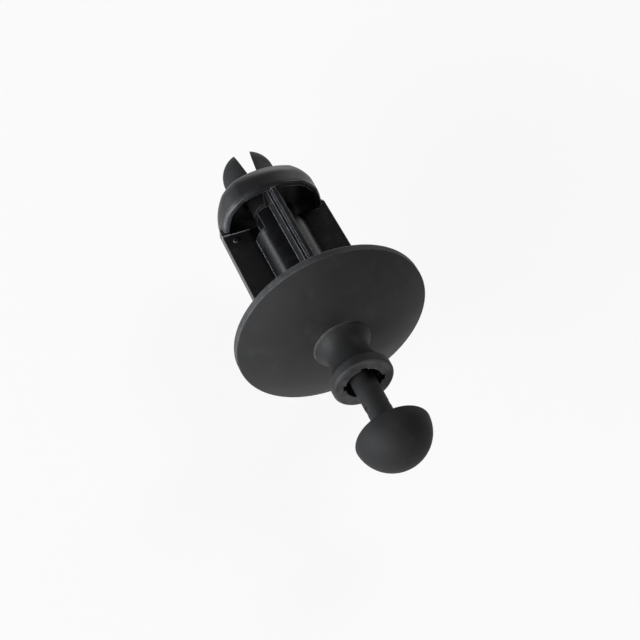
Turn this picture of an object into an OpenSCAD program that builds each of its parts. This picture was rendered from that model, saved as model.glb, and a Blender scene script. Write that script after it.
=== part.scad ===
// Trunk lining clip: a moulded grommet and the push pin that slides in it.
// The clip's axis is +Y, towards the split tip. The wings lie along X and the fins along Z.
// The origin is on the axis, in the plane where the flange's rim seats on the lining.

/* [Flange] */
// Diameter of the umbrella flange
flange_d = 25; // [20:0.5:32]
// Height of the flange's upright rim
rim_h = 0.85; // [0.5:0.05:1]
// Width of the flat land that seats on the lining
seat_w = 0.8; // [0.5:0.1:1.5]
// Depth of the dish on the knob side, seat plane to collar root
dish_depth = 4.1; // [3.4:0.1:4.6]
// Wall of the flange on the axis
flange_wall = 1.0; // [0.8:0.05:1.2]

/* [Collar] */
// Diameter of the collar at its lip
lip_d = 7.95; // [7.5:0.05:9]
// Diameter of the collar at its waist
waist_d = 5.4; // [5.2:0.1:6]
// Distance of the waist from the seat plane
waist_at = 6.4; // [6:0.1:7]
// Length of the collar, seat plane to lip end
collar_len = 10.9; // [10:0.1:12]
// Length of the straight band behind the lip end
lip_band = 1.2; // [0.9:0.1:1.6]
// Rounding of the lip's outer edge
lip_round = 0.35; // [0.2:0.05:0.5]
// Diameter of the low boss at the collar's root
boss_d = 7.4; // [7:0.1:8]
// Height of the boss's edge over the dish
boss_h = 0.25; // [0.2:0.05:0.4]
// Diameter of the flared mouth of the bore
mouth_d = 4.8; // [4.6:0.1:5.2]
// Depth of the flared mouth
mouth_depth = 1.6; // [1:0.1:2.2]
// Width of the four notches in the mouth
notch_w = 0.9; // [0.6:0.1:1.2]
// Reach of the notches past the mouth
notch_reach = 0.3; // [0.2:0.05:0.4]

/* [Guide tube] */
// Diameter of the bore for the pin
bore_d = 4.2; // [4:0.1:4.4]
// Outside diameter of the guide tube
tube_d = 7; // [6.4:0.1:7.6]
// Length of the guide tube, seat plane to end
tube_len = 15.4; // [13:0.1:16.5]
// Width of the two tongues that carry the tube's wall on beside the fins
tongue_w = 4.6; // [3:0.1:5]
// Height of the tongues' ends over the seat plane
tongue_top = 18; // [17:0.1:19]

/* [Wings and fins] */
// Width across both wings at the seat plane
wing_span = 14.8; // [14.2:0.1:16]
// Narrowing of the span, seat plane to wing top, for the draft of the mould
wing_draft = 0.5; // [0:0.1:1]
// Thickness of the wings
wing_t = 1.1; // [0.8:0.1:1.6]
// Height of the wings' top edge over the seat plane
wing_top = 17.7; // [17:0.1:18.4]
// Rise of the wings' slanted corners, from their outer edge to the cap's wall
corner_rise = 1.2; // [0.8:0.1:1.6]
// Thickness of the fins' inner web
web_t = 1.4; // [1:0.1:1.8]
// Reach of the fins' inner web from the axis
web_reach = 5.3; // [4.4:0.1:5.6]
// Height of the web's inner corner over the seat plane
web_top = 19.4; // [19:0.1:20]
// Rise of the web's slanted top edge, bore to cap wall
web_rise = 1.6; // [1:0.1:2]
// Thickness of the fins' outer blade
blade_t = 0.6; // [0.5:0.05:0.9]
// Diameter of the ejector pip on the left wing
pip_d = 0.6; // [0.4:0.1:1]
// Height of the pip
pip_h = 0.15; // [0.1:0.05:0.3]
// Distance of the pip from the wing's outer and top edges
pip_in = 1.3; // [1:0.1:2]

/* [Cap] */
// Height of the cap's rim over the seat plane
cap_rim = 18.2; // [17.6:0.1:18.6]
// Height of the cap, rim to roof
cap_h = 5.1; // [4.8:0.1:6]
// Width of the cap across the wings
cap_w = 13.3; // [12.8:0.1:13.8]
// Width of the cap across the fins
cap_depth = 13; // [12.6:0.1:13.6]
// Diameter of the cap over its round corners
cap_d = 13.9; // [13.4:0.1:14.4]
// Radius of the cap's gently curved sides, seen along the axis
side_r = 10; // [9:0.5:16]
// Radius of the cap's shoulder
shoulder_r = 3.1; // [2.6:0.1:3.8]
// Rounding of the cap's rim
cap_rim_round = 0.25; // [0.15:0.05:0.3]
// Wall of the cap
cap_wall = 0.65; // [0.6:0.05:0.9]

/* [Push pin] */
// Diameter of the half-round knob
knob_d = 9.7; // [8.6:0.1:11]
// Height of the knob
knob_h = 4.65; // [3.8:0.05:4.8]
// Rounding of the knob's edge
knob_edge = 0.2; // [0.1:0.05:0.5]
// Diameter of the shaft
shaft_d = 3.1; // [2.6:0.1:3.4]
// Travel of the pin, pulled out to pushed in
travel = 8.3; // [7:0.1:9]
// Gap left between knob and lip when the pin is pushed in
knob_gap = 0.15; // [0.1:0.05:0.3]
// Length of the guide land in the tube
land_len = 7; // [4:0.5:8]
// Depth of the two detent notches in the shaft
detent_depth = 0.25; // [0.1:0.05:0.4]
// Length of the detent notches
detent_len = 1; // [0.6:0.1:1.5]
// Running clearance between pin and bore, on the radius
run_gap = 0.1; // [0.06:0.02:0.2]

/* [Split tip] */
// Diameter over the barbs
barb_d = 6.8; // [5.8:0.1:7.2]
// Length of the tip, barb shoulder to end
tip_len = 6.3; // [6:0.1:9]
// Height that the small flat takes off the tip's round nose
nose_flat = 0.4; // [0.1:0.05:0.5]
// Length of the full stem below the barb shoulder
stem_len = 3.6; // [3:0.1:4.4]
// Gap between barb shoulder and cap roof
barb_gap = 0.1; // [0.06:0.02:0.3]
// Width of the slot at the end of the tip
slot_w = 2.5; // [1.8:0.1:2.8]
// Width of the slot at its root
slot_root_w = 0.7; // [0.5:0.05:0.9]
// Depth of the slot below the barb shoulder
slot_depth = 1.2; // [1:0.1:2.4]
// Shift of the slot from the axis, towards the right wing
slot_shift = 0.65; // [0:0.05:0.7]
// Turn of the slot about the axis, from the fins towards the left wing
slot_turn = 19; // [0:1:45]

/* [Hidden] */
$fn = 96;
// Overlap that joins forms into one moulding
bite = 0.2;
// Length that carries a cut past the face it opens
past = 1;

flange_r = flange_d / 2;
bore_r = bore_d / 2;
tube_r = tube_d / 2;
lip_r = lip_d / 2;
waist_r = waist_d / 2;
boss_r = boss_d / 2;
mouth_r = mouth_d / 2;

// Plane of the collar's lip end and of its root, where it grows from the flange
lip_end = -collar_len;
collar_root = -dish_depth;
flange_mid = collar_root + flange_wall / 2;

// The collar's hollow waist is two arcs, one to the lip band and one to the boss's edge
waist_arc_r = arc_r(collar_len - lip_band - waist_at, lip_r - waist_r);
flare_arc_r = arc_r(waist_at - dish_depth - boss_h, boss_r - waist_r);

// The dish's knob side is part of a sphere through the rim's edge and the collar's root
dish_span = pow(flange_r, 2) + pow(rim_h, 2) - pow(lip_r, 2) - pow(dish_depth, 2);
dish_centre = dish_span / (2 * (dish_depth - rim_h));
dish_r = norm([flange_r, dish_centre + rim_h]);
// Its panel side is a second sphere, from the seat land's inner edge, one wall off the first on the axis
hollow_depth = dish_r - dish_centre - flange_wall;
hollow_centre = (pow(flange_r - seat_w, 2) - pow(hollow_depth, 2)) / (2 * hollow_depth);
hollow_r = hollow_centre + hollow_depth;

// Roof planes of the cap, and the middle of its wall
roof = cap_rim + cap_h;
roof_inside = roof - cap_wall;
blade_reach = (cap_depth - cap_wall) / 2;

// Pin planes in the pulled-out position
knob_seat = lip_end - knob_gap - travel;
barb_seat = roof + barb_gap;
tip_end = barb_seat + tip_len;
stem_r = bore_r - run_gap;
land_start = collar_root + past;
slot_root = barb_seat - slot_depth;
stem_start = barb_seat - stem_len;

// Radius of an arc that leaves its tangent by this rise over this run
function arc_r(run, rise) = (pow(run, 2) + pow(rise, 2)) / (2 * rise);

// Plane, just inside the flange's wall, where a rib of this reach ends
function rib_root(reach) = hollow_centre - sqrt(pow(hollow_r, 2) - pow(reach, 2)) - bite;

// Lays a form that was drawn along Z on the clip's axis
module on_axis() {
  rotate([-90, 0, 0])
    children();
}

// Half section of a disc between two planes, with its edge rounded at the first
module disc_section(r, edge, from, to) {
  translate([0, from + edge])
    square([r, to - from - edge]);
  translate([0, from])
    square([r - edge, to - from]);
  translate([r - edge, from + edge])
    circle(edge);
}

// Section of the dish between its two spheres, with the upright rim
module flange_section() {
  difference() {
    intersection() {
      translate([0, dish_centre])
        circle(dish_r, $fn = 4 * $fn);
      translate([0, -dish_r])
        square([flange_r, dish_r]);
    }
    translate([0, hollow_centre])
      circle(hollow_r, $fn = 4 * $fn);
  }
}

// Section of the spool-shaped collar: its rounded lip, and the flare that grows from the boss
module collar_section() {
  difference() {
    disc_section(lip_r, lip_round, lip_end, -waist_at);
    translate([waist_r + waist_arc_r, -waist_at])
      circle(waist_arc_r);
  }
  difference() {
    translate([0, -waist_at])
      square([boss_r, flange_mid + waist_at]);
    translate([waist_r + flare_arc_r, -waist_at])
      circle(flare_arc_r);
  }
}

// Half section of the cap: straight side, arched shoulder, rounded rim
module vault_section(half_w, shoulder, rim_round, bottom, top) {
  spring = top - shoulder;
  intersection() {
    union() {
      disc_section(half_w, rim_round, bottom, spring);
      translate([0, bottom])
        square([half_w - shoulder, top - bottom]);
      translate([half_w - shoulder, spring])
        circle(shoulder);
    }
    translate([0, bottom])
      square([half_w, top - bottom]);
  }
}

// Squarish dome: four gently curved sides and four round corners
module dome(inset, rim_round, bottom, top) {
  shoulder = shoulder_r - inset;
  intersection() {
    rotate_extrude()
      vault_section(cap_d / 2 - inset, shoulder, rim_round, bottom, top);
    intersection_for(turn = [0, 90, 180, 270]) {
      half_w = turn % 180 == 0 ? cap_w / 2 : cap_depth / 2;
      rotate([0, 0, turn])
        translate([half_w - side_r, 0, 0])
          rotate_extrude()
            vault_section(side_r - inset, shoulder, rim_round, bottom, top);
    }
  }
}

// Hollow cap, open towards the flange
module cap() {
  difference() {
    dome(0, cap_rim_round, cap_rim, roof);
    dome(cap_wall, cap_rim_round, cap_rim - past, roof_inside);
  }
}

// Both wings as one tapered plate, with corners that rise past the cap's rim into its wall
module wings() {
  half_low = wing_span / 2;
  half_top = half_low - wing_draft / 2;
  corner_in = cap_w / 2 - cap_wall;
  corner_edge = cap_rim + 2 * cap_rim_round;
  corner_top = corner_edge + corner_rise;
  rotate([90, 0, 0])
    linear_extrude(wing_t, center = true)
      for (side = [0, 1])
        mirror([side, 0])
          polygon([
            [0, rib_root(tube_r)],
            [tube_r, rib_root(tube_r)],
            [half_low, rib_root(half_low)],
            [half_top, corner_edge],
            [cap_w / 2 - cap_rim_round, corner_top],
            [corner_in, corner_top],
            [corner_in, wing_top],
            [0, wing_top]
          ]);
  translate([pip_in - half_top, bite - wing_t / 2, wing_top - pip_in])
    rotate([90, 0, 0])
      cylinder(d = pip_d, h = pip_h + bite);
}

// One fin: a stout inner web with a slanted top edge, and a thin outer blade
module fin() {
  rim_top = cap_rim + 2 * cap_rim_round;
  rotate([90, 0, 90]) {
    linear_extrude(web_t, center = true)
      polygon([
        [0, rib_root(tube_r)],
        [tube_r, rib_root(tube_r)],
        [web_reach, rib_root(web_reach)],
        [web_reach, rim_top],
        [blade_reach, rim_top],
        [cap_depth / 2 - cap_wall, web_top + web_rise],
        [bore_r, web_top],
        [0, web_top]
      ]);
    linear_extrude(blade_t, center = true)
      polygon([
        [tube_r, rib_root(tube_r)],
        [blade_reach, rib_root(blade_reach)],
        [blade_reach, rim_top],
        [tube_r, rim_top]
      ]);
  }
}

// The tube, and the two tongues that carry its wall up beside the fins
module guide_tube() {
  translate([0, 0, flange_mid])
    cylinder(r = tube_r, h = tube_len - flange_mid);
  intersection() {
    translate([0, 0, flange_mid])
      cylinder(r = tube_r, h = tongue_top - flange_mid);
    translate([-tongue_w / 2, -tube_d, flange_mid])
      cube([tongue_w, 2 * tube_d, tongue_top - flange_mid]);
  }
}

// What runs through the grommet: bore, flared mouth and the notches in it
module bore() {
  translate([0, 0, lip_end - past])
    cylinder(r = bore_r, h = roof - lip_end + 2 * past);
  translate([0, 0, lip_end])
    cylinder(r1 = mouth_r, r2 = bore_r, h = mouth_depth);
  for (turn = [0, 90])
    rotate([0, 0, turn])
      translate([-mouth_r - notch_reach, -notch_w / 2, lip_end - past])
        cube([2 * (mouth_r + notch_reach), notch_w, past + mouth_depth / 2]);
}

// Flange, collar, tube, wings, fins and cap: one moulding
module grommet() {
  color("#1d1d1f")
    on_axis() {
      difference() {
        union() {
          rotate_extrude() {
            flange_section();
            collar_section();
          }
          guide_tube();
          wings();
          for (turn = [0, 180])
            rotate([0, 0, turn])
              fin();
          cap();
        }
        bore();
      }
    }
}

// Half-round knob with a rounded edge
module knob() {
  ball_r = arc_r(knob_d / 2, knob_h);
  translate([0, 0, knob_seat])
    rotate_extrude()
      mirror([0, 1])
        intersection() {
          disc_section(knob_d / 2, knob_edge, 0, knob_h);
          translate([0, knob_h - ball_r])
            circle(ball_r);
        }
}

// Round-nosed tip over the barb shoulder, with a small flat at its end
module bullet() {
  barb_r = barb_d / 2;
  nose_at = tip_len + nose_flat - barb_r;
  translate([0, 0, barb_seat])
    rotate_extrude()
      intersection() {
        union() {
          square([barb_r, nose_at]);
          translate([0, nose_at])
            circle(barb_r);
        }
        square([barb_r, tip_len]);
      }
}

// Slot that splits the tip into two legs, widening towards the end
module slot() {
  rotate([0, 0, -slot_turn])
    translate([slot_shift, 0, 0])
      rotate([90, 0, 0])
        linear_extrude(2 * barb_d, center = true) {
          translate([0, slot_root])
            circle(slot_root_w / 2);
          polygon([
            [-slot_root_w / 2, slot_root],
            [slot_root_w / 2, slot_root],
            [slot_w / 2, tip_end + past],
            [-slot_w / 2, tip_end + past]
          ]);
        }
}

// Knob, shaft, guide land and split tip: one moulding
module push_pin() {
  detent_at = (knob_seat + lip_end) / 2;
  color("#222225")
    on_axis() {
      knob();
      difference() {
        union() {
          translate([0, 0, knob_seat - bite])
            cylinder(d = shaft_d, h = stem_start - knob_seat + 2 * bite);
          translate([0, 0, land_start])
            cylinder(r = stem_r, h = land_len);
          translate([0, 0, stem_start])
            cylinder(r = stem_r, h = barb_seat + bite - stem_start);
          bullet();
        }
        slot();
        for (side = [-1, 1])
          translate([side * shaft_d / 2, 0, detent_at])
            cube([2 * detent_depth, shaft_d, detent_len], center = true);
      }
    }
}

grommet();
push_pin();
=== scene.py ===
import math

import bmesh
import bpy
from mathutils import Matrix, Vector


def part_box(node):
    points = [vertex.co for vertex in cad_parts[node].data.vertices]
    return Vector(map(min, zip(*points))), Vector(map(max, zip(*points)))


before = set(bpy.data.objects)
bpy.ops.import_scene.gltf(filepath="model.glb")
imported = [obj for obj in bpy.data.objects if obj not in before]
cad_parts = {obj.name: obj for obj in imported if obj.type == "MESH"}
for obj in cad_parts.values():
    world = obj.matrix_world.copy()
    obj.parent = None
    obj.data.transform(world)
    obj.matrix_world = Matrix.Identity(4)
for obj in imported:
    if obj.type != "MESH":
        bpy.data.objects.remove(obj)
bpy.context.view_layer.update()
scene = bpy.context.scene
scene.view_settings.view_transform = "Standard"

# Camera
# The clip is looked at from above its knob end, 300 mm away, so its plug points up and away.
# Its flange then fills about a third of the picture's width.
camera_distance = 0.300
camera_azimuth = math.radians(-22.583)
camera_elevation = math.radians(48.216)
towards_camera = Vector((
    math.sin(camera_azimuth) * math.cos(camera_elevation),
    -math.cos(camera_azimuth) * math.cos(camera_elevation),
    math.sin(camera_elevation),
))
picture_right = Vector((math.cos(camera_azimuth), math.sin(camera_azimuth), 0.0))
picture_up = towards_camera.cross(picture_right)
picture_centre = picture_right * -0.00111 + picture_up * 0.00003

camera_data = bpy.data.cameras.new("studio_camera")
camera_data.sensor_width = 36.0
camera_data.lens = 137.9
camera_data.clip_start = 0.01
camera = bpy.data.objects.new("studio_camera", camera_data)
camera.location = picture_centre + towards_camera * camera_distance
camera.rotation_euler = towards_camera.to_track_quat("Z", "Y").to_euler()
scene.collection.objects.link(camera)
scene.camera = camera


# Floor
# A round sheet of matt white paper lies just under the flange's rim and curls up into a low wall.
# Most of what the camera sees of it is plain white, so the clip's shadow stays soft and pale.
def stretch_on(material, value, low, high, out_low, out_high):
    """Takes a value from one range to another and stops it at the ends."""
    stretch = material.node_tree.nodes.new("ShaderNodeMapRange")
    stretch.inputs["From Min"].default_value = low
    stretch.inputs["From Max"].default_value = high
    stretch.inputs["To Min"].default_value = out_low
    stretch.inputs["To Max"].default_value = out_high
    material.node_tree.links.new(value, stretch.inputs["Value"])
    return stretch.outputs[0]


def math_on(material, operation, first, second):
    """Result of one step of arithmetic on two values."""
    step = material.node_tree.nodes.new("ShaderNodeMath")
    step.operation = operation
    material.node_tree.links.new(first, step.inputs[0])
    material.node_tree.links.new(second, step.inputs[1])
    return step.outputs[0]


paper_gap = 0.0001
floor_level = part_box("grommet")[0][2] - paper_gap
floor_r = 0.95
cove_r = 0.22
wall_top = 0.24
cove_steps = 10
turn_steps = 96
paper_outline = [(0.0, 0.0)]
for step in range(cove_steps + 1):
    angle = 0.5 * math.pi * step / cove_steps
    paper_outline.append((floor_r + cove_r * math.sin(angle), cove_r * (1.0 - math.cos(angle))))
paper_outline.append((floor_r + cove_r, wall_top))

paper_shape = bmesh.new()
outline_points = [paper_shape.verts.new((r, 0.0, floor_level + rise)) for r, rise in paper_outline]
outline_edges = [paper_shape.edges.new(pair) for pair in zip(outline_points, outline_points[1:])]
bmesh.ops.spin(
    paper_shape,
    geom=outline_points + outline_edges,
    cent=(0.0, 0.0, 0.0),
    axis=(0.0, 0.0, 1.0),
    angle=2.0 * math.pi,
    steps=turn_steps,
    use_merge=True,
)
bmesh.ops.remove_doubles(paper_shape, verts=paper_shape.verts, dist=0.00001)
for face in paper_shape.faces:
    face.smooth = True
floor_mesh = bpy.data.meshes.new("paper_sheet")
paper_shape.to_mesh(floor_mesh)
paper_shape.free()
paper_sheet = bpy.data.objects.new("paper_sheet", floor_mesh)
scene.collection.objects.link(paper_sheet)

paper = bpy.data.materials.new("white_paper")
paper.use_nodes = True
paper_nodes = paper.node_tree.nodes
paper_links = paper.node_tree.links
paper_face = paper_nodes["Principled BSDF"]
paper_face.inputs["Base Color"].default_value = (0.86, 0.86, 0.86, 1.0)
paper_face.inputs["Roughness"].default_value = 0.9
paper_face.inputs["Specular IOR Level"].default_value = 0.1
paper_white = paper_nodes.new("ShaderNodeEmission")
paper_white.inputs["Color"].default_value = (1.0, 1.0, 1.0, 1.0)
paper_white.inputs["Strength"].default_value = 1.0
ray_kind = paper_nodes.new("ShaderNodeLightPath").outputs
seen_or_mirrored = math_on(paper, "MAXIMUM", ray_kind["Is Camera Ray"], ray_kind["Is Glossy Ray"])
seen_at_all = math_on(paper, "MAXIMUM", seen_or_mirrored, ray_kind["Is Transmission Ray"])
white_share = stretch_on(paper, seen_at_all, 0.0, 1.0, 0.0, 0.88)
paper_mix = paper_nodes.new("ShaderNodeMixShader")
paper_links.new(white_share, paper_mix.inputs["Fac"])
paper_links.new(paper_face.outputs[0], paper_mix.inputs[1])
paper_links.new(paper_white.outputs[0], paper_mix.inputs[2])
paper_links.new(paper_mix.outputs[0], paper_nodes["Material Output"].inputs["Surface"])
floor_mesh.materials.append(paper)

# Studio light
# A wide soft box and a long window of cooler daylight stand low on the left.
# A soft box over the right and a strip behind light the plug's far side. The room itself is dim.
room = bpy.data.worlds.new("dim_white_room")
scene.world = room
room.use_nodes = True
room_light = room.node_tree.nodes["Background"]
room_light.inputs["Color"].default_value = (1.0, 1.0, 1.0, 1.0)
room_light.inputs["Strength"].default_value = 0.06

for name, place, width, height, watts, tint in (
    ("soft_box_left", (-0.58, -0.32, 0.15), 0.70, 0.26, 7.6, (1.0, 1.0, 1.0)),
    ("window_left", (-0.62, 0.08, 0.08), 1.00, 0.14, 3.2, (0.86, 0.93, 1.0)),
    ("soft_box_right", (0.52, 0.30, 0.50), 0.30, 0.30, 2.2, (1.0, 1.0, 1.0)),
    ("strip_behind", (0.30, 0.66, 0.12), 0.50, 0.18, 1.5, (1.0, 1.0, 1.0)),
):
    lamp = bpy.data.lights.new(name, "AREA")
    lamp.shape = "RECTANGLE"
    lamp.color = tint
    lamp.size = width
    lamp.size_y = height
    lamp.energy = watts
    lamp_object = bpy.data.objects.new(name, lamp)
    lamp_object.location = place
    lamp_object.rotation_euler = Vector(place).to_track_quat("Z", "Y").to_euler()
    scene.collection.objects.link(lamp_object)


# Grommet
# One black nylon moulding: dished flange, collar, ribbed plug and cap.
# The flange and collar are spark-eroded satin, and the plug comes out of a polished half of the mould.
def noise_on(material, place, scale, detail):
    """Cloudy pattern that is fixed to the moulding; the scale counts waves in one metre."""
    pattern = material.node_tree.nodes.new("ShaderNodeTexNoise")
    pattern.inputs["Scale"].default_value = scale
    pattern.inputs["Detail"].default_value = detail
    material.node_tree.links.new(place, pattern.inputs["Vector"])
    return pattern.outputs["Fac"]


def two_tones_on(material, value, dark, light):
    """Colour that runs from a dark tone to a light one with a value."""
    ramp = material.node_tree.nodes.new("ShaderNodeValToRGB")
    ramp.color_ramp.elements[0].position = 0.3
    ramp.color_ramp.elements[0].color = (*dark, 1.0)
    ramp.color_ramp.elements[1].position = 0.7
    ramp.color_ramp.elements[1].color = (*light, 1.0)
    material.node_tree.links.new(value, ramp.inputs[0])
    return ramp.outputs[0]


def mixed_on(material, share, first, second):
    """Colour between two colours, by a share from 0 to 1."""
    mix = material.node_tree.nodes.new("ShaderNodeMix")
    mix.data_type = "RGBA"
    material.node_tree.links.new(share, mix.inputs["Factor"])
    material.node_tree.links.new(first, mix.inputs["A"])
    material.node_tree.links.new(second, mix.inputs["B"])
    return mix.outputs["Result"]


def rounded_normal_on(material, radius):
    """Normal that is rounded over the moulding's edges, and a mask of those edges."""
    nodes = material.node_tree.nodes
    links = material.node_tree.links
    rounded = nodes.new("ShaderNodeBevel")
    rounded.samples = 8
    if isinstance(radius, float):
        rounded.inputs["Radius"].default_value = radius
    else:
        links.new(radius, rounded.inputs["Radius"])
    flat = nodes.new("ShaderNodeNewGeometry")
    likeness = nodes.new("ShaderNodeVectorMath")
    likeness.operation = "DOT_PRODUCT"
    links.new(rounded.outputs[0], likeness.inputs[0])
    links.new(flat.outputs["Normal"], likeness.inputs[1])
    edge = stretch_on(material, likeness.outputs["Value"], 0.99, 0.86, 0.0, 1.0)
    return rounded.outputs[0], edge


def grain_on(material, normal, grain, depth):
    """Fine relief of the mould's face on a normal; depth is its strength."""
    relief = material.node_tree.nodes.new("ShaderNodeBump")
    relief.inputs["Distance"].default_value = 0.00002
    material.node_tree.links.new(depth, relief.inputs["Strength"])
    material.node_tree.links.new(grain, relief.inputs["Height"])
    material.node_tree.links.new(normal, relief.inputs["Normal"])
    return relief.outputs[0]


nylon = bpy.data.materials.new("black_nylon")
nylon.use_nodes = True
nylon_nodes = nylon.node_tree.nodes
nylon_links = nylon.node_tree.links
nylon_face = nylon_nodes["Principled BSDF"]
nylon_face.inputs["Specular IOR Level"].default_value = 0.18
nylon_place = nylon_nodes.new("ShaderNodeTexCoord").outputs["Object"]
nylon_axes = nylon_nodes.new("ShaderNodeSeparateXYZ")
nylon_links.new(nylon_place, nylon_axes.inputs[0])
along_wings = nylon_axes.outputs["X"]
along_clip = nylon_axes.outputs["Y"]
across_axis = nylon_nodes.new("ShaderNodeVectorMath")
across_axis.operation = "MULTIPLY"
across_axis.inputs[1].default_value = (1.0, 0.0, 1.0)
nylon_links.new(nylon_place, across_axis.inputs[0])
axis_distance = nylon_nodes.new("ShaderNodeVectorMath")
axis_distance.operation = "LENGTH"
nylon_links.new(across_axis.outputs[0], axis_distance.inputs[0])
from_axis = axis_distance.outputs["Value"]

# Places on the moulding, along the clip from the flange's seat plane and outwards from its axis
grommet_low, grommet_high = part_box("grommet")
lip_end = grommet_low[1]
wing_top = 0.0177
cap_rim = 0.0182
dome_foot = 0.0202
tube_r = 0.0035
wing_reach = 0.0074
flange_r = grommet_high[0]

# The mould parts at the seat plane: satin on the knob side, polished on the plug side
polished = stretch_on(nylon, along_clip, 0.0, 0.0004, 0.0, 1.0)
on_tube = stretch_on(nylon, from_axis, tube_r + 0.0001, tube_r + 0.0006, 1.0, 0.0)
on_cap = stretch_on(nylon, along_clip, cap_rim + 0.0004, cap_rim + 0.0008, 0.0, 1.0)
on_dome = stretch_on(nylon, along_clip, dome_foot + 0.0004, dome_foot + 0.0010, 0.0, 1.0)
clouding = noise_on(nylon, nylon_place, 260.0, 4.0)
rubbed = noise_on(nylon, nylon_place, 900.0, 6.0)

# Edges are a little round, and the cap's corners rounder
rim_round = stretch_on(nylon, on_cap, 0.0, 1.0, 0.00017, 0.00045)
dome_round = stretch_on(nylon, on_dome, 0.0, 1.0, 0.0, 0.00055)
edge_round = math_on(nylon, "ADD", rim_round, dome_round)
nylon_normal, nylon_edge = rounded_normal_on(nylon, edge_round)

# Tones of the moulded faces, and paler ones for scuffs and for painted highlights on edges and lit rims
satin_tone = two_tones_on(nylon, clouding, (0.0130, 0.0130, 0.0135), (0.0180, 0.0180, 0.0186))
plug_tone = two_tones_on(nylon, clouding, (0.0120, 0.0120, 0.0126), (0.0165, 0.0165, 0.0173))
# The tube between the ribs gets a much darker tone, as painted shade
tube_shade_tone = two_tones_on(nylon, clouding, (0.0035, 0.0035, 0.0039), (0.0055, 0.0055, 0.0060))
plug_and_tube_shade_tone = mixed_on(nylon, on_tube, plug_tone, tube_shade_tone)
moulded_and_tube_shade_tone = mixed_on(nylon, polished, satin_tone, plug_and_tube_shade_tone)
satin_wear_and_highlight_tone = two_tones_on(nylon, rubbed, (0.050, 0.050, 0.052), (0.150, 0.150, 0.156))
plug_wear_and_highlight_tone = two_tones_on(nylon, rubbed, (0.068, 0.071, 0.077), (0.230, 0.240, 0.262))
wear_and_highlight_tone = mixed_on(nylon, polished, satin_wear_and_highlight_tone, plug_wear_and_highlight_tone)

# Edges get a painted highlight, except the wings' outer edges and the cap's dome, which stay dark
above_flange = stretch_on(nylon, along_clip, 0.0004, 0.0010, 0.0, 1.0)
below_cap = stretch_on(nylon, along_clip, wing_top - 0.0001, cap_rim, 1.0, 0.0)
outer_edge = stretch_on(nylon, from_axis, wing_reach - 0.0016, wing_reach - 0.0008, 0.0, 0.9)
wing_height = math_on(nylon, "MULTIPLY", above_flange, below_cap)
highlight_free_outer_edge = math_on(nylon, "MULTIPLY", outer_edge, wing_height)
highlight_free_edge_or_dome = math_on(nylon, "MAXIMUM", highlight_free_outer_edge, on_dome)
painted_edge_highlight = math_on(nylon, "SUBTRACT", nylon_edge, highlight_free_edge_or_dome)

# The lip's end is painted paler as painted light, and on the left side the flange's rim and the cap's
# rim get a painted highlight. A few scuffs lie all over.
lip_painted_light = stretch_on(nylon, along_clip, lip_end + 0.00025, lip_end + 0.00005, 0.0, 0.28)
rim_painted_highlight = stretch_on(nylon, from_axis, flange_r - 0.00015, flange_r - 0.00004, 0.0, 0.28)
lit_left_side = stretch_on(nylon, along_wings, 0.0030, -0.0060, 0.0, 1.0)
flange_rim_highlight = math_on(nylon, "MULTIPLY", rim_painted_highlight, lit_left_side)
above_wings = stretch_on(nylon, along_clip, cap_rim - 0.0002, cap_rim, 0.0, 1.0)
on_rim = math_on(nylon, "SUBTRACT", above_wings, on_cap)
cap_lit_left_side = stretch_on(nylon, along_wings, -0.0015, -0.0060, 0.0, 0.24)
cap_rim_highlight = math_on(nylon, "MULTIPLY", on_rim, cap_lit_left_side)
head_painted_light = math_on(nylon, "MAXIMUM", lip_painted_light, flange_rim_highlight)
head_and_cap_painted_light = math_on(nylon, "MAXIMUM", head_painted_light, cap_rim_highlight)
scuffs = stretch_on(nylon, noise_on(nylon, nylon_place, 430.0, 9.0), 0.56, 0.70, 0.0, 0.05)
scuffs_and_painted_light = math_on(nylon, "MAXIMUM", head_and_cap_painted_light, scuffs)
wear_and_highlight = math_on(nylon, "MAXIMUM", painted_edge_highlight, scuffs_and_painted_light)
face_with_wear_and_painted_light = mixed_on(nylon, wear_and_highlight, moulded_and_tube_shade_tone, wear_and_highlight_tone)

# A thin pale line along the left wing's top edge is a painted highlight
streak_low = stretch_on(nylon, along_clip, wing_top - 0.0002, wing_top - 0.0001, 0.0, 1.0)
streak_high = stretch_on(nylon, along_clip, wing_top + 0.00004, wing_top + 0.0001, 1.0, 0.0)
streak_in = stretch_on(nylon, along_wings, 0.0001 - tube_r, -0.0002 - tube_r, 0.0, 1.0)
streak_out = stretch_on(nylon, along_wings, 0.0001 - wing_reach, 0.0005 - wing_reach, 0.0, 1.0)
streak_height = math_on(nylon, "MULTIPLY", streak_low, streak_high)
streak_length = math_on(nylon, "MULTIPLY", streak_in, streak_out)
wing_top_highlight = math_on(nylon, "MULTIPLY", streak_height, streak_length)
highlight_streak_tone = two_tones_on(nylon, rubbed, (0.22, 0.22, 0.23), (0.50, 0.50, 0.52))
nylon_colour = mixed_on(nylon, wing_top_highlight, face_with_wear_and_painted_light, highlight_streak_tone)
nylon_links.new(nylon_colour, nylon_face.inputs["Base Color"])

nylon_gloss = stretch_on(nylon, polished, 0.0, 1.0, 0.54, 0.22)
cap_gloss = stretch_on(nylon, on_cap, 0.0, 1.0, 0.0, 0.16)
gloss_patches = stretch_on(nylon, clouding, 0.3, 0.7, 0.0, 0.06)
rub_marks = stretch_on(nylon, rubbed, 0.55, 0.75, 0.0, 0.06)
moulded_gloss = math_on(nylon, "ADD", nylon_gloss, cap_gloss)
patchy_gloss = math_on(nylon, "ADD", moulded_gloss, gloss_patches)
nylon_roughness = math_on(nylon, "ADD", patchy_gloss, rub_marks)
nylon_links.new(nylon_roughness, nylon_face.inputs["Roughness"])

spark_grain = noise_on(nylon, nylon_place, 5200.0, 3.0)
grain_depth = stretch_on(nylon, polished, 0.0, 1.0, 0.25, 0.06)
nylon_relief = grain_on(nylon, nylon_normal, spark_grain, grain_depth)
nylon_links.new(nylon_relief, nylon_face.inputs["Normal"])

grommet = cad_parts["grommet"]
grommet.material_slots[0].material = nylon

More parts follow.
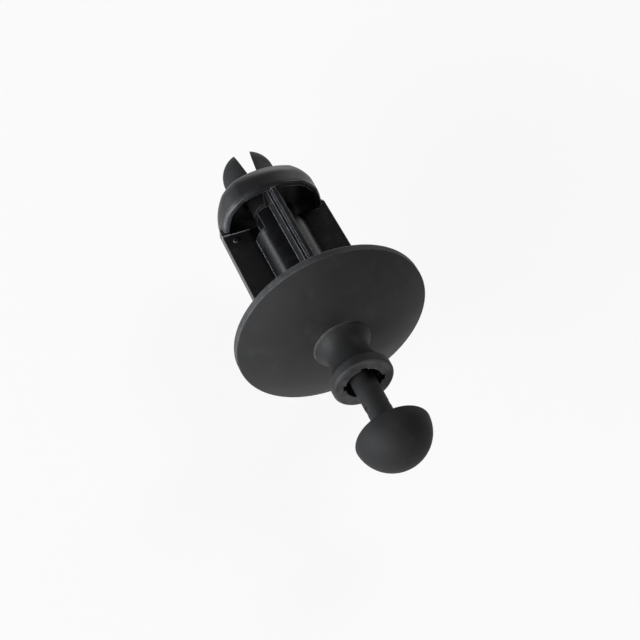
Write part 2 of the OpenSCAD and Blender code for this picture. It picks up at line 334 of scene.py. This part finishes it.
# Push pin
# A second black moulding, of acetal, which slides in the grommet: half-round knob, shaft and split tip.
# It is matt all over, and the knob is rubbed paler where fingers pull it.
acetal = bpy.data.materials.new("black_acetal")
acetal.use_nodes = True
acetal_nodes = acetal.node_tree.nodes
acetal_links = acetal.node_tree.links
acetal_face = acetal_nodes["Principled BSDF"]
acetal_face.inputs["Specular IOR Level"].default_value = 0.16
acetal_place = acetal_nodes.new("ShaderNodeTexCoord").outputs["Object"]
acetal_axes = acetal_nodes.new("ShaderNodeSeparateXYZ")
acetal_links.new(acetal_place, acetal_axes.inputs[0])
along_pin = acetal_axes.outputs["Y"]
pin_clouding = noise_on(acetal, acetal_place, 320.0, 4.0)
pin_rubbed = noise_on(acetal, acetal_place, 1100.0, 6.0)
pin_normal, pin_edge = rounded_normal_on(acetal, 0.00017)

pin_tone = two_tones_on(acetal, pin_clouding, (0.0110, 0.0110, 0.0115), (0.0150, 0.0150, 0.0156))
# The pale tone serves both wear and the painted edge highlight
pin_wear_and_highlight_tone = two_tones_on(acetal, pin_rubbed, (0.025, 0.025, 0.026), (0.070, 0.070, 0.073))

# Edges get a painted highlight, fingers wear the knob's crown paler, and a few scuffs lie all over
knob_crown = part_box("push_pin")[0][1]
crown_rub = stretch_on(acetal, along_pin, knob_crown + 0.0035, knob_crown + 0.0005, 0.0, 0.05)
pin_scuffs = stretch_on(acetal, noise_on(acetal, acetal_place, 520.0, 9.0), 0.56, 0.70, 0.0, 0.10)
pin_rub = math_on(acetal, "ADD", crown_rub, pin_scuffs)
pin_wear_and_highlight = math_on(acetal, "MAXIMUM", pin_edge, pin_rub)
pin_colour = mixed_on(acetal, pin_wear_and_highlight, pin_tone, pin_wear_and_highlight_tone)
acetal_links.new(pin_colour, acetal_face.inputs["Base Color"])

pin_gloss = stretch_on(acetal, pin_clouding, 0.3, 0.7, 0.60, 0.72)
pin_marks = stretch_on(acetal, pin_rubbed, 0.55, 0.75, 0.0, 0.10)
pin_roughness = math_on(acetal, "ADD", pin_gloss, pin_marks)
acetal_links.new(pin_roughness, acetal_face.inputs["Roughness"])

pin_grain = noise_on(acetal, acetal_place, 5200.0, 3.0)
pin_grain_depth = stretch_on(acetal, pin_clouding, 0.3, 0.7, 0.16, 0.26)
pin_relief = grain_on(acetal, pin_normal, pin_grain, pin_grain_depth)
acetal_links.new(pin_relief, acetal_face.inputs["Normal"])

push_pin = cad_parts["push_pin"]
push_pin.material_slots[0].material = acetal
